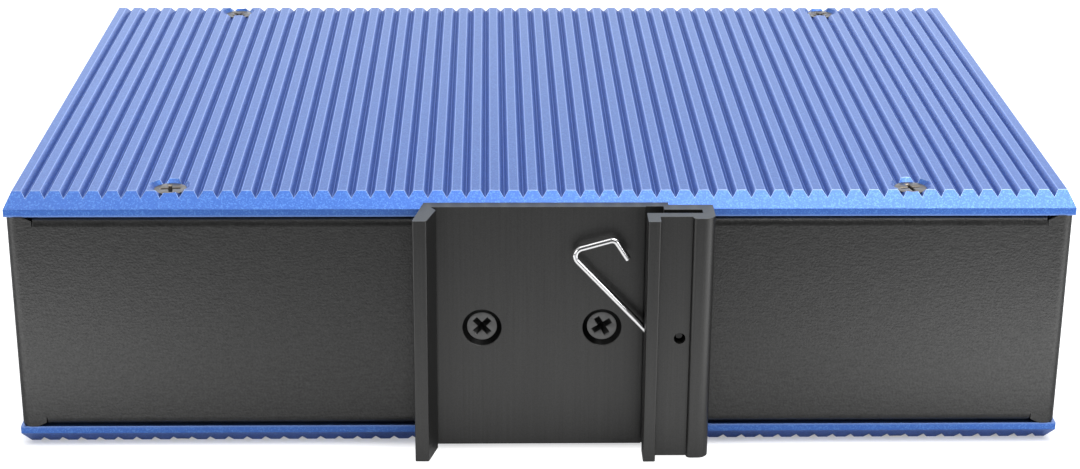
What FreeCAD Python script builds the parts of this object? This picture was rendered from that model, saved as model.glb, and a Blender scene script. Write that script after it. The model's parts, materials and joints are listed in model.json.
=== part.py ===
import FreeCAD, Part
import math
import os

import Sketcher

# DIN rail ethernet switch, lying on its lower side panel.
# X runs along the 165 mm length, -Y is the rail clip's side, +Y the port face, +Z up.
# Origin: middle of the overall box in X and Y, on the plane that the lower panel's ridges rest on.

SIZES = {
    # case
    "case_length": 165.0,       # over the side panels, along X
    "case_depth": 112.0,        # over the folded sheet, along Y
    "body_height": 35.4,        # folded sheet between the side panels
    "panel_overhang": 0.2,      # side panels past the end walls
    "panel_setback": 0.1,       # side panels short of the back and the port face
    "sheet": 1.2,
    "bend_radius": 1.6,         # outside of each fold
    "flange_width": 8.5,
    "end_flange": 5.0,
    "corner_tab": 4.0,          # unfolded sheet left at each rear corner
    "bend_relief": 0.1,         # kerf between each corner tab and the fold beside it
    "tab_slant": 1.5,           # slanted end of each corner tab, along X
    "tab_slant_rise": 0.7,
    "corner_round": 0.8,        # corners of the back, seen from behind
    "sheet_gap": 0.2,           # front panel to end walls
    # side panels
    "panel_thickness": 3.5,
    "panel_edge": 1.2,          # upright edge under the bevel
    "panel_end_bevel": 1.1,
    "ridge_pitch": 2.935,
    "ridge_flat": 1.48,
    "groove_depth": 0.95,
    "groove_margin": 2.0,       # last groove's middle to the panel's end, at least
    "screw_span": 115.0,        # side panel screws, along X
    "screw_inset": 5.0,         # side panel screws from the back and the port face
    "countersink": 6.4,
    "flat_head": 5.2,
    "screw_shank": 3.0,
    "screw_clearance": 3.4,     # plain holes for the screws
    "thread_gap": 0.05,         # radial, shank to threaded hole
    "panel_screw_length": 4.8,
    "pan_crown": 0.38,          # flat of a pan head from its middle, of the head's width
    "recess_span": 3.2,
    "recess_slot": 0.8,
    "recess_depth": 0.9,
    "nut_width": 5.5,           # across flats
    "nut_length": 1.6,
    # rail clip
    "rail_width": 35.0,
    "rail_play": 0.5,
    "slot_shift": 0.7,          # rail slot's middle from the screws' middle
    "clip_height": 40.0,
    "clip_plate": 2.0,
    "clip_reach": 8.6,          # deepest hook from the case's back
    "hook_height": 8.2,
    "hook_nose": 3.3,           # nose's height over the case's back
    "hook_undercut": 0.73,
    "hook_tip": 2.15,
    "hook_base": 1.2,           # outside of the hook from the undercut's root
    "hook_lean": 1.56,
    "mouth_width": 2.7,
    "mouth_drop": 0.25,
    "slit_floor": 3.2,
    "slit_gap": 1.5,
    "slit_length": 5.8,
    "lip_thickness": 1.7,
    "lip_nose": 1.9,
    "bead_width": 3.45,
    "bead_top": 7.3,
    "bead_foot": 1.1,
    "bead_wall": 1.8,
    "foot_overlap": 0.8,        # plate's full thickness past the slit's mouth
    "clip_screw_span": 18.7,
    "clip_countersink": 6.2,
    "clip_head": 4.8,
    "clip_screw_length": 5.0,
    "clip_edge": 0.25,          # rounding of the extrusion's corners
    "lip_hole": 1.8,
    "lip_hole_inset": 2.65,     # from the slit's mouth
    # rail spring
    "wire": 1.0,
    "wire_bend": 0.8,           # centreline radius at the hole
    "wire_end": 1.1,            # sunk below the lip's face
    "wire_mouth_turn": 4.7,     # hole to the turn at the mouth
    "wire_arm_across": 17.2,    # hole to the first corner
    "wire_arm_up": 13.4,
    "wire_top_across": 10.1,    # hole to the second corner
    "wire_top_up": 15.4,
    "wire_tip_across": 8.05,    # hole to the free end
    "wire_tip_up": 12.2,
    "wire_corner": 1.3,
    "wire_tip_corner": 0.9,
    # board
    "standoff_height": 4.0,
    "standoff_width": 5.5,      # across flats
    "standoff_gap": 0.4,        # to the flanges of the end walls
    "board_thickness": 1.6,
    "board_side_gap": 1.5,      # board edge to the end walls
    "board_front_gap": 0.6,
    "board_rear_gap": 6.0,
    "board_screw_inset": 6.0,
    "board_screw_length": 4.6,
    "board_head": 5.4,
    "board_head_height": 1.8,
    # ports
    "cutout_gap": 0.25,
    "jack_width": 16.6,
    "jack_height": 26.6,
    "jack_depth": 25.0,
    "jack_count": 4,
    "socket_width": 11.8,
    "socket_height": 7.0,
    "latch_width": 6.2,
    "latch_height": 2.0,
    "socket_wall": 1.9,
    "socket_depth": 16.0,
    "latch_depth": 9.0,
    "cage_width": 14.2,
    "cage_height": 9.8,
    "cage_depth": 48.0,
    "cage_wall": 0.5,
    "cage_count": 4,
    "connector_depth": 8.0,
    "connector_height": 6.0,
    "connector_width": 11.6,
    # lamps
    "lamp_block_width": 6.0,
    "lamp_block_depth": 8.0,
    "lamp_width": 3.0,
    "lamp_height": 2.0,
    "lamp_pitch": 5.6,
    "lamp_count": 4,
    "lamp_gap": 0.1,
    # ground screw
    "ground_head": 5.8,
    "ground_head_height": 2.1,
    "ground_screw_length": 6.0,
    "washer_width": 7.0,
    "washer_thickness": 0.6,
    # terminal header
    "terminal_poles": 6,
    "pole_pitch": 5.08,
    "header_depth": 12.0,
    "header_height": 8.6,
    "header_wall": 1.0,
    "header_back": 2.5,
    "header_pin": 1.0,
    "pin_recess": 3.0,
    "pin_tail": 1.5,
    # parts on the board
    "chip_width": 23.0,
    "chip_thickness": 2.0,
    "chip_pad_thickness": 1.0,
    "chip_share": -0.05,        # from the case's middle, of its length
    "chip_y": 46.0,             # from the case's back
    "block_width": 28.0,
    "line_chip_width": 14.0,
    "line_chip_thickness": 1.4,
    "line_chip_pitch": 22.0,
    "line_chip_share": -0.25,
    "line_chip_gap": 8.0,       # to the jacks
    "transformer_length": 22.0,
    "transformer_width": 18.0,
    "transformer_height": 14.0,
    "transformer_share": -0.315,
    "power_y": 30.0,            # power parts from the case's back
    "inductor_width": 12.0,
    "inductor_height": 6.5,
    "inductor_share": 0.205,
    "inductor_pitch": 17.0,
    "capacitor_width": 10.0,
    "capacitor_height": 16.0,
    "capacitor_share": -0.16,
    "capacitor_pitch": 12.5,
    "capacitor_count": 2,
    "capacitor_y": 22.0,
}


class Size:
    """A size held twice: as a number, and as the sheet expression that gives it."""

    def __init__(self, value, text):
        self.value = value
        self.text = text

    def joined(self, sign, other, value):
        return Size(value, f"({self.text} {sign} {other.text})")

    def __add__(self, other):
        other = sized(other)
        return self.joined("+", other, self.value + other.value)

    def __sub__(self, other):
        other = sized(other)
        return self.joined("-", other, self.value - other.value)

    def __mul__(self, other):
        other = sized(other)
        return self.joined("*", other, self.value * other.value)

    def __truediv__(self, other):
        other = sized(other)
        return self.joined("/", other, self.value / other.value)

    def __rsub__(self, other):
        return sized(other) - self

    def __rmul__(self, other):
        return self * other

    def __neg__(self):
        return sized(0) - self

    def floor(self):
        return Size(math.floor(self.value), f"floor({self.text})")


def sized(number):
    return number if isinstance(number, Size) else Size(number, repr(number))


class Named:
    """Every driving size by its name."""

    def __init__(self, sizes):
        for word, value in sizes.items():
            setattr(self, word, Size(value, f"Sizes.{word}"))


doc = FreeCAD.newDocument("din_rail_switch")
sheet = doc.addObject("Spreadsheet::Sheet", "Sizes")
for line, (word, value) in enumerate(SIZES.items(), 1):
    sheet.set(f"A{line}", word)
    sheet.set(f"B{line}", str(value))
    sheet.setAlias(f"B{line}", word)
doc.recompute()

s = Named(SIZES)
nodes = []

# ---- places worked out from the driving sizes ----
half_height = s.body_height / 2
middle_z = s.panel_thickness + half_height
body_half = s.case_length / 2 - s.panel_overhang
ground_reach = s.ground_head_height + s.washer_thickness
case_y = (s.clip_reach - ground_reach) / 2
rear_y = case_y - s.case_depth / 2
front_y = case_y + s.case_depth / 2
wall_x = body_half - s.sheet
inner_bend = s.bend_radius - s.sheet
front_half = wall_x - s.sheet_gap
thread_hole = s.screw_shank + 2 * s.thread_gap
board_bottom = s.panel_thickness + s.standoff_height
board_top = board_bottom + s.board_thickness


# ---- helpers ----
def bind(item, name, size):
    item.setExpression(name, sized(size).text)


def place(item, x=0, y=0, z=0, turn=None):
    """Puts an object at a bound position, turned by (axis, degrees)."""
    if turn:
        item.Placement.Rotation = FreeCAD.Rotation(FreeCAD.Vector(*turn[0]), turn[1])
    for letter, size in zip("xyz", (x, y, z)):
        bind(item, f"Placement.Base.{letter}", size)
    return item


def keep(item, label):
    """Gives a finished piece its node name."""
    item.Label = label
    nodes.append(item)
    return item


def new_body(name):
    return doc.addObject("PartDesign::Body", name)


def origin_part(body, role):
    return next(part for part in body.Origin.OriginFeatures if part.Role == role)


def new_sketch(body, name, role, lift=None):
    sketch = body.newObject("Sketcher::SketchObject", name)
    sketch.AttachmentSupport = [(origin_part(body, role), "")]
    sketch.MapMode = "FlatFace"
    if lift is not None:
        bind(sketch, "AttachmentOffset.Base.z", lift)
    return sketch


def hold(sketch, kind, *rest, size):
    """Adds a dimension and binds it to the sheet."""
    number = sketch.addConstraint(Sketcher.Constraint(kind, *rest, sized(size).value))
    sketch.setExpression(f"Constraints[{number}]", sized(size).text)


def hold_point(sketch, element, end, across, up):
    hold(sketch, "DistanceX", -1, 1, element, end, size=across)
    hold(sketch, "DistanceY", -1, 1, element, end, size=up)


def outline(sketch, corners):
    """Closed outline through corners (across, up) or (across, up, radius)."""
    spots = [FreeCAD.Vector(sized(c[0]).value, sized(c[1]).value, 0) for c in corners]
    radii = [sized(c[2]).value if len(c) == 3 else 0 for c in corners]
    total = len(corners)
    ends = []
    for i, (spot, radius) in enumerate(zip(spots, radii)):
        back = (spots[i - 1] - spot).normalize()
        ahead = (spots[(i + 1) % total] - spot).normalize()
        reach = radius / math.tan(back.getAngle(ahead) / 2)
        ends.append((spot + back * reach, spot + ahead * reach, (back + ahead)))
    lines = []
    for i in range(total):
        edge = Part.LineSegment(ends[i][1], ends[(i + 1) % total][0])
        lines.append(sketch.addGeometry(edge))
    for i, corner in enumerate(corners):
        before, after = lines[i - 1], lines[i]
        if radii[i] == 0:
            sketch.addConstraint(Sketcher.Constraint("Coincident", before, 2, after, 1))
            hold_point(sketch, after, 1, corner[0], corner[1])
            continue
        start, stop, inward = ends[i]
        half_turn = inward.normalize().getAngle(spots[i - 1] - spots[i])
        centre = spots[i] + inward * (radii[i] / math.sin(half_turn))
        middle = centre - inward * radii[i]
        leftward = (spots[i] - start).cross(stop - spots[i]).z > 0
        run = (start, middle, stop) if leftward else (stop, middle, start)
        arc = sketch.addGeometry(Part.Arc(*run))
        first = 1 if leftward else 2
        sketch.addConstraint(Sketcher.Constraint("Tangent", before, 2, arc, first))
        sketch.addConstraint(Sketcher.Constraint("Tangent", after, 1, arc, 3 - first))
        hold(sketch, "Radius", arc, size=corner[2])
        peg = sketch.addGeometry(Part.Point(spots[i]), True)
        hold_point(sketch, peg, 1, corner[0], corner[1])
        sketch.addConstraint(Sketcher.Constraint("PointOnObject", peg, 1, before))
        sketch.addConstraint(Sketcher.Constraint("PointOnObject", peg, 1, after))


def rectangle(sketch, left, low, right, high):
    outline(sketch, [(left, low), (right, low), (right, high), (left, high)])


def circle(sketch, across, up, width):
    centre = FreeCAD.Vector(sized(across).value, sized(up).value, 0)
    ring = Part.Circle(centre, FreeCAD.Vector(0, 0, 1), sized(width).value / 2)
    number = sketch.addGeometry(ring)
    hold(sketch, "Diameter", number, size=width)
    hold_point(sketch, number, 3, across, up)


def pad(body, sketch, length, both_ways=False, backwards=False):
    feature = body.newObject("PartDesign::Pad", sketch.Name + "_pad")
    feature.Profile = sketch
    bind(feature, "Length", length)
    feature.SideType = "Symmetric" if both_ways else "One side"
    feature.Reversed = backwards
    return feature


def pocket(body, sketch, length=None, both_ways=False, backwards=False):
    """Cuts a sketch into its body, right through where no length is given."""
    feature = body.newObject("PartDesign::Pocket", sketch.Name + "_cut")
    feature.Profile = sketch
    feature.SideType = "Symmetric" if both_ways else "One side"
    feature.Reversed = backwards
    if length is None:
        feature.Type = "ThroughAll"
    else:
        bind(feature, "Length", length)
    return feature


def countersunk(body, sketch, hole, sink):
    """Through holes with a 90 degree countersink at the sketch's plane."""
    doc.recompute()
    feature = body.newObject("PartDesign::Hole", sketch.Name + "_holes")
    feature.Profile = sketch
    feature.DepthType = "ThroughAll"
    feature.HoleCutType = "Countersink"
    feature.HoleCutCustomValues = True
    feature.HoleCutCountersinkAngle = 90
    bind(feature, "Diameter", hole)
    bind(feature, "HoleCutDiameter", sink)
    return feature


def block(label, length, width, height, x, y, z):
    """Plain box, centred on x and y and standing on z."""
    item = doc.addObject("Part::Box", label)
    bind(item, "Length", length)
    bind(item, "Width", width)
    bind(item, "Height", height)
    return keep(place(item, x - length / 2, y - width / 2, z), label)


def upright_box(label, width, depth, height):
    """Box for a group to repeat, centred on its foot."""
    body = new_body(label)
    foot = new_sketch(body, label + "_foot", "XY_Plane")
    rectangle(foot, -width / 2, -depth / 2, width / 2, depth / 2)
    pad(body, foot, height)
    return body


def group(label, master, places, turn=None):
    """Copies of one piece at several places, in one node."""
    links = []
    for number, (x, y, z) in enumerate(places, 1):
        link = doc.addObject("App::Link", f"{label}_{number}")
        link.LinkedObject = master
        links.append(place(link, x, y, z, turn))
    item = doc.addObject("Part::Compound", label)
    item.Links = links
    return keep(item, label)


# ---- side panels: ribbed plates ----
def side_panel(label, z, turn=None):
    """Plate with its inside face at z = 0; bevelled all round and grooved along Y."""
    body = new_body(label)
    half = s.case_length / 2
    top = s.panel_thickness
    profile = new_sketch(body, label + "_profile", "XZ_Plane")
    outline(profile, [
        (-half, 0), (half, 0), (half, s.panel_edge), (half - s.panel_end_bevel, top),
        (s.panel_end_bevel - half, top), (-half, s.panel_edge),
    ])
    plate = pad(body, profile, s.case_depth - 2 * s.panel_setback, both_ways=True)
    doc.recompute()
    long_edges = [
        f"Edge{number}" for number, edge in enumerate(plate.Shape.Edges, 1)
        if edge.BoundBox.ZMin > top.value - 0.01 and edge.BoundBox.YLength < 0.01
    ]
    bevel = body.newObject("PartDesign::Chamfer", label + "_bevel")
    bevel.Base = (plate, long_edges)
    bind(bevel, "Size", top - s.panel_edge)

    span = s.case_length / 2 - s.groove_margin
    count = 2 * (span / s.ridge_pitch).floor() + 1
    first = -((count - 1) * s.ridge_pitch / 2)
    mouth = (s.ridge_pitch - s.ridge_flat) / 2
    groove = new_sketch(body, label + "_groove", "XZ_Plane")
    outline(groove, [
        (first, top - s.groove_depth),
        (first + 2 * mouth, top + s.groove_depth),
        (first - 2 * mouth, top + s.groove_depth),
    ])
    cut = pocket(body, groove, both_ways=True)
    grooves = body.newObject("PartDesign::LinearPattern", label + "_grooves")
    grooves.Originals = [cut]
    grooves.Direction = (origin_part(body, "X_Axis"), [""])
    grooves.Mode = "Spacing"
    bind(grooves, "Offset", s.ridge_pitch)
    bind(grooves, "Occurrences", count)
    body.Tip = grooves

    marks = new_sketch(body, label + "_screw_marks", "XY_Plane", lift=top)
    for x in (-s.screw_span / 2, s.screw_span / 2):
        for y in (s.screw_inset - s.case_depth / 2, s.case_depth / 2 - s.screw_inset):
            circle(marks, x, y, s.screw_clearance)
    countersunk(body, marks, s.screw_clearance, s.countersink)
    return keep(place(body, 0, case_y, z, turn), label)


side_panel("upper_side_panel", middle_z + half_height)
side_panel("lower_side_panel", middle_z - half_height, turn=((0, 1, 0), 180))


# ---- screws ----
def screw(label, profile, crossed=True):
    """Turned screw, with a cross recess if crossed; the head's top is at profile's first height."""
    body = new_body(label)
    turned = new_sketch(body, label + "_profile", "XZ_Plane")
    outline(turned, profile)
    round_part = body.newObject("PartDesign::Revolution", label + "_turned")
    round_part.Profile = turned
    round_part.ReferenceAxis = (turned, ["V_Axis"])
    round_part.Angle = 360
    if not crossed:
        return body
    cross = new_sketch(body, label + "_recess", "XY_Plane", lift=profile[0][1])
    arm, slot = s.recess_span / 2, s.recess_slot / 2
    outline(cross, [
        (arm, -slot), (arm, slot), (slot, slot), (slot, arm), (-slot, arm), (-slot, slot),
        (-arm, slot), (-arm, -slot), (-slot, -slot), (-slot, -arm), (slot, -arm), (slot, -slot),
    ])
    pocket(body, cross, s.recess_depth)
    return body


def flat_screw(label, head, length):
    """Countersunk screw, its head's top at z = 0."""
    shank = s.screw_shank / 2
    return screw(label, [
        (0, sized(0)), (head / 2, 0), (shank, shank - head / 2), (shank, -length), (0, -length),
    ])


def pan_screw(label, head, head_height, length, crossed=True):
    """Pan head screw that seats at z = 0."""
    shank = s.screw_shank / 2
    return screw(label, [
        (0, head_height), (head * s.pan_crown, head_height), (head / 2, 0), (shank, 0),
        (shank, -length), (0, -length),
    ], crossed)


def ring(label, width, bore, length, six_sided=True):
    """Nut, spacer or round washer, standing on z = 0; width is across flats if it has any."""
    body = new_body(label)
    face = new_sketch(body, label + "_face", "XY_Plane")
    if six_sided:
        reach = width / math.sqrt(3)
        turns = [math.radians(60 * number) for number in range(6)]
        outline(face, [(reach * math.cos(turn), reach * math.sin(turn)) for turn in turns])
    else:
        circle(face, 0, 0, width)
    circle(face, 0, 0, bore)
    pad(body, face, length)
    return body


panel_screw = flat_screw("panel_screw", s.flat_head, s.panel_screw_length)
clip_screw = flat_screw("clip_screw", s.clip_head, s.clip_screw_length)
hex_nut = ring("hex_nut", s.nut_width, thread_hole, s.nut_length)

screw_spots = [
    (x, y)
    for x in (-s.screw_span / 2, s.screw_span / 2)
    for y in (rear_y + s.screw_inset, front_y - s.screw_inset)
]
# A cone seats where its width equals the countersink's, so the head's top lies this far down.
head_sink = (s.countersink - s.flat_head) / 2
upper_head = middle_z + half_height + s.panel_thickness - head_sink
group("upper_panel_screws", panel_screw, [(x, y, upper_head) for x, y in screw_spots])
group("lower_panel_screws", panel_screw, [(x, y, head_sink) for x, y in screw_spots],
      turn=((1, 0, 0), 180))


# ---- chassis: one folded sheet, the back and both ends ----
def flange_profile(face, inside, height, side):
    """Section of one rolled edge: upright sheet at face, folded towards inside."""
    towards = 1 if inside.value > face.value else -1
    skin = face + s.sheet * towards
    foot = side * (height - 2 * s.bend_radius)
    return [
        (face, foot),
        (face, side * height, s.bend_radius),
        (inside, side * height),
        (inside, side * (height - s.sheet)),
        (skin, side * (height - s.sheet), inner_bend),
        (skin, foot),
    ]


def chassis():
    """Local origin: middle of the back's outer face, Y into the case."""
    body = new_body("chassis")
    end_start = s.flange_width + s.sheet_gap
    end_stop = s.case_depth - s.flange_width - s.sheet_gap
    tab_x = body_half - s.corner_tab

    wrap = new_sketch(body, "chassis_wrap", "XY_Plane")
    outline(wrap, [
        (-body_half, s.case_depth), (-body_half, 0, s.bend_radius), (body_half, 0, s.bend_radius),
        (body_half, s.case_depth), (wall_x, s.case_depth), (wall_x, s.sheet, inner_bend),
        (-wall_x, s.sheet, inner_bend), (-wall_x, s.case_depth),
    ])
    pad(body, wrap, s.body_height - 2 * s.bend_radius, both_ways=True)

    tall = new_sketch(body, "chassis_tall_edges", "XY_Plane")
    for side in (-1, 1):
        outline(tall, [
            (side * body_half, end_start - s.bend_relief), (side * body_half, 0, s.bend_radius),
            (side * tab_x, 0), (side * tab_x, s.sheet), (side * wall_x, s.sheet, inner_bend),
            (side * wall_x, end_start - s.bend_relief),
        ])
        outline(tall, [
            (side * body_half, end_stop + s.bend_relief), (side * body_half, s.case_depth),
            (side * wall_x, s.case_depth), (side * wall_x, end_stop + s.bend_relief),
        ])
    pad(body, tall, s.body_height, both_ways=True)

    back = new_sketch(body, "chassis_back_flanges", "YZ_Plane")
    for side in (-1, 1):
        outline(back, flange_profile(sized(0), s.flange_width, half_height, side))
    pad(body, back, 2 * (tab_x - s.bend_relief), both_ways=True)

    ends = new_sketch(body, "chassis_end_flanges", "XZ_Plane", lift=-end_start)
    for side in (-1, 1):
        edge, lap = side * body_half, side * (body_half - s.end_flange)
        for level in (-1, 1):
            outline(ends, flange_profile(edge, lap, half_height, level))
    pad(body, ends, end_stop - end_start, backwards=True)

    trims = new_sketch(body, "chassis_corner_trims", "XZ_Plane")
    beyond = s.bend_radius
    for side in (-1, 1):
        for level in (-1, 1):
            edge, top = side * body_half, level * half_height
            outline(trims, [
                (side * tab_x, top), (side * (tab_x + s.tab_slant), top),
                (side * tab_x, level * (half_height - s.tab_slant_rise)),
            ])
            outline(trims, [
                (side * (body_half - beyond), top), (edge, top, s.corner_round),
                (edge, level * (half_height - beyond)),
                (side * (body_half + beyond), level * (half_height - beyond)),
                (side * (body_half + beyond), level * (half_height + beyond)),
                (side * (body_half - beyond), level * (half_height + beyond)),
            ])
    pocket(body, trims, s.sheet + s.bend_radius)

    clip_holes = new_sketch(body, "chassis_clip_holes", "XZ_Plane")
    for side in (-1, 1):
        circle(clip_holes, side * s.clip_screw_span / 2, 0, thread_hole)
    pocket(body, clip_holes)

    panel_holes = new_sketch(body, "chassis_panel_holes", "XY_Plane")
    for side in (-1, 1):
        circle(panel_holes, side * s.screw_span / 2, s.screw_inset, thread_hole)
    pocket(body, panel_holes, both_ways=True)

    window = new_sketch(body, "chassis_terminal_window", "YZ_Plane", lift=-body_half)
    half = header_length / 2 + s.cutout_gap
    low = board_top - middle_z
    rectangle(window, header_y - half, low - s.cutout_gap,
              header_y + half, low + s.header_height + s.cutout_gap)
    pocket(body, window, s.bend_radius, backwards=True)
    return keep(place(body, 0, rear_y, middle_z), "chassis")


header_length = s.terminal_poles * s.pole_pitch + 2 * s.header_wall
header_y = s.case_depth / 2
chassis()


# ---- front panel: port face, folded between the end walls ----
# From the left: ground screw, jacks, cages and lamps. What they leave free of the port face is
# shared evenly between them and its ends, with two shares between jacks and cages.
ports_width = (s.washer_width + s.jack_count * s.jack_width + s.cage_count * s.cage_width
               + s.lamp_block_width)
share = (2 * front_half - ports_width) / (s.jack_count + s.cage_count + 4)
ground_x = share + s.washer_width / 2 - front_half
first_jack = 2 * share + s.washer_width + s.jack_width / 2 - front_half
jack_x = [first_jack + (s.jack_width + share) * number for number in range(SIZES["jack_count"])]
first_cage = jack_x[-1] + s.jack_width / 2 + 2 * share + s.cage_width / 2
cage_x = [first_cage + (s.cage_width + share) * number for number in range(SIZES["cage_count"])]
lamp_x = front_half - share - s.lamp_block_width / 2
lamp_z = [s.lamp_pitch * (number + 0.5) for number in range(SIZES["lamp_count"])]


def front_panel():
    """Local origin: middle of the outer face, Y out of the case."""
    body = new_body("front_panel")
    fold = new_sketch(body, "front_fold", "YZ_Plane")
    back, skin, lip = -s.flange_width, -s.sheet, half_height - s.sheet
    outline(fold, [
        (0, -half_height, s.bend_radius), (0, half_height, s.bend_radius), (back, half_height),
        (back, lip), (skin, lip, inner_bend), (skin, -lip, inner_bend), (back, -lip),
        (back, -half_height),
    ])
    pad(body, fold, 2 * front_half, both_ways=True)

    ports = new_sketch(body, "front_ports", "XZ_Plane")
    low = board_top - middle_z
    for centres, width, height in ((jack_x, s.jack_width, s.jack_height),
                                   (cage_x, s.cage_width, s.cage_height)):
        for x in centres:
            half = width / 2 + s.cutout_gap
            rectangle(ports, x - half, low - s.cutout_gap, x + half, low + height + s.cutout_gap)
    across, up = s.lamp_width / 2 + s.lamp_gap, s.lamp_height / 2 + s.lamp_gap
    for height in lamp_z:
        rectangle(ports, lamp_x - across, low + height - up, lamp_x + across, low + height + up)
    circle(ports, ground_x, 0, thread_hole)
    pocket(body, ports, backwards=True)

    screw_holes = new_sketch(body, "front_screw_holes", "XY_Plane")
    for side in (-1, 1):
        circle(screw_holes, side * s.screw_span / 2, -s.screw_inset, thread_hole)
    pocket(body, screw_holes, both_ways=True)
    return keep(place(body, 0, front_y, middle_z), "front_panel")


front_panel()

# ---- rail clip: one extrusion, its profile in X and height over the case's back ----
slot_left = s.slot_shift - (s.rail_width + s.rail_play) / 2
slot_right = s.slot_shift + (s.rail_width + s.rail_play) / 2
slit_top = s.slit_floor + s.slit_gap
lip_top = slit_top + s.lip_thickness
lip_end = slot_right - s.mouth_width
slit_end = slot_right + s.slit_length
bead_right = slit_end + s.bead_wall
bead_left = bead_right - s.bead_width
lip_hole_x = slot_right + s.lip_hole_inset


def din_clip():
    """Local origin: middle of the clip's screws on the case's back; -Y away from the case."""
    body = new_body("din_clip")
    profile = new_sketch(body, "clip_profile", "XY_Plane")
    nose_x = slot_left + s.hook_undercut
    foot_x = slot_left - s.hook_base
    tip_x = foot_x - s.hook_lean
    soft = s.clip_edge
    corners = [
        (foot_x, 0), (tip_x, s.hook_height, soft), (tip_x + s.hook_tip, s.hook_height, soft),
        (nose_x, s.hook_nose, soft), (slot_left, s.clip_plate),
        (lip_end, s.clip_plate), (lip_end, s.clip_plate - s.mouth_drop),
        (slot_right, s.clip_plate - s.mouth_drop), (slot_right, s.slit_floor),
        (slit_end, s.slit_floor), (slit_end, slit_top),
        (lip_end, slit_top), (lip_end, s.clip_reach, soft), (lip_end + s.lip_nose, s.clip_reach, soft),
        (lip_end + s.lip_nose, lip_top), (bead_left, lip_top),
        (bead_left, s.bead_top, s.bead_width / 5), (bead_right, s.bead_top, s.bead_width / 2),
        (bead_right, s.bead_foot, soft), (slot_right + s.foot_overlap, s.bead_foot),
        (slot_right + s.foot_overlap, 0),
    ]
    outline(profile, [(corner[0], -sized(corner[1]), *corner[2:]) for corner in corners])
    pad(body, profile, s.clip_height, both_ways=True)

    marks = new_sketch(body, "clip_screw_marks", "XZ_Plane", lift=s.clip_plate)
    for side in (-1, 1):
        circle(marks, side * s.clip_screw_span / 2, 0, s.screw_clearance)
    countersunk(body, marks, s.screw_clearance, s.clip_countersink)

    eye = new_sketch(body, "clip_spring_hole", "XZ_Plane", lift=lip_top)
    circle(eye, lip_hole_x, 0, s.lip_hole)
    pocket(body, eye, s.lip_thickness + s.slit_gap / 2)
    return keep(place(body, 0, rear_y, middle_z), "din_clip")


din_clip()
clip_sink = (s.clip_countersink - s.clip_head) / 2
clip_spots = [side * s.clip_screw_span / 2 for side in (-1, 1)]
group("clip_screws", clip_screw,
      [(x, rear_y - s.clip_plate + clip_sink, middle_z) for x in clip_spots],
      turn=((1, 0, 0), 90))
group("clip_nuts", hex_nut, [(x, rear_y + s.sheet, middle_z) for x in clip_spots],
      turn=((1, 0, 0), -90))


# ---- rail spring: bent wire, its end turned out into the lip's hole ----
def rounded_path(corners, radii):
    """Straight runs through corners, with a tangent arc of each radius at the inner ones."""
    edges = []
    start = corners[0]
    for i, radius in enumerate(radii, 1):
        back = (corners[i - 1] - corners[i]).normalize()
        ahead = (corners[i + 1] - corners[i]).normalize()
        half_angle = back.getAngle(ahead) / 2
        inward = (back + ahead).normalize()
        reach = radius / math.tan(half_angle)
        entry, leave = corners[i] + back * reach, corners[i] + ahead * reach
        middle = corners[i] + inward * (radius / math.sin(half_angle) - radius)
        edges.append(Part.LineSegment(start, entry).toShape())
        edges.append(Part.Arc(entry, middle, leave).toShape())
        start = leave
    edges.append(Part.LineSegment(start, corners[-1]).toShape())
    return Part.Wire(edges)


def rail_spring():
    """The wire lies in the middle of the slit, and its arm crosses the mouth."""
    lie = (s.slit_floor + s.slit_gap / 2).value
    hole_x = lip_hole_x.value
    turn_x = hole_x - s.wire_mouth_turn.value
    arm_x, arm_z = hole_x - s.wire_arm_across.value, s.wire_arm_up.value
    top_x, top_z = hole_x - s.wire_top_across.value, s.wire_top_up.value
    tip_x, tip_z = hole_x - s.wire_tip_across.value, s.wire_tip_up.value
    across = [(hole_x, 0), (turn_x, 0), (arm_x, arm_z), (top_x, top_z), (tip_x, tip_z)]
    sunk = (lip_top - s.wire_end).value
    corners = [FreeCAD.Vector(hole_x, -sunk, 0)]
    corners += [FreeCAD.Vector(x, -lie, z) for x, z in across]
    radii = [s.wire_bend.value, s.wire_corner.value, s.wire_corner.value, s.wire_tip_corner.value]
    path = rounded_path(corners, radii)
    section = Part.Wire(Part.Circle(corners[0], FreeCAD.Vector(0, 1, 0), s.wire.value / 2).toShape())
    item = doc.addObject("Part::Feature", "rail_spring")
    item.Shape = path.makePipe(Part.Face(section))
    return keep(place(item, 0, rear_y, middle_z), "rail_spring")


rail_spring()

# ---- main board on its standoffs ----
board_half = wall_x - s.board_side_gap
board_rear = rear_y + s.board_rear_gap
board_front = front_y - s.sheet - s.board_front_gap
post_x = body_half - s.end_flange - s.standoff_gap - s.standoff_width / math.sqrt(3)
post_rear = board_rear + s.board_screw_inset
# The left front post stands midway between the terminal header and the jacks.
post_left = (case_y + header_length / 2 + front_y - s.jack_depth) / 2
post_right = front_y - s.cage_depth - s.board_screw_inset
board_spots = [(-post_x, post_rear), (post_x, post_rear), (-post_x, post_left), (post_x, post_right)]


def main_board():
    """Local origin: middle of the rear edge, underside."""
    body = new_body("main_board")
    face = new_sketch(body, "board_face", "XY_Plane")
    length = board_front - board_rear
    rectangle(face, -board_half, 0, board_half, length)
    for x, y in board_spots:
        circle(face, x, y - board_rear, s.screw_clearance)
    pad(body, face, s.board_thickness)
    return keep(place(body, 0, board_rear, board_bottom), "main_board")


main_board()
standoff = ring("standoff", s.standoff_width, thread_hole, s.standoff_height)
board_screw = pan_screw("board_screw", s.board_head, s.board_head_height, s.board_screw_length,
                        crossed=False)
group("board_standoffs", standoff, [(x, y, s.panel_thickness) for x, y in board_spots])
group("board_screws", board_screw, [(x, y, board_top) for x, y in board_spots])


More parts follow.
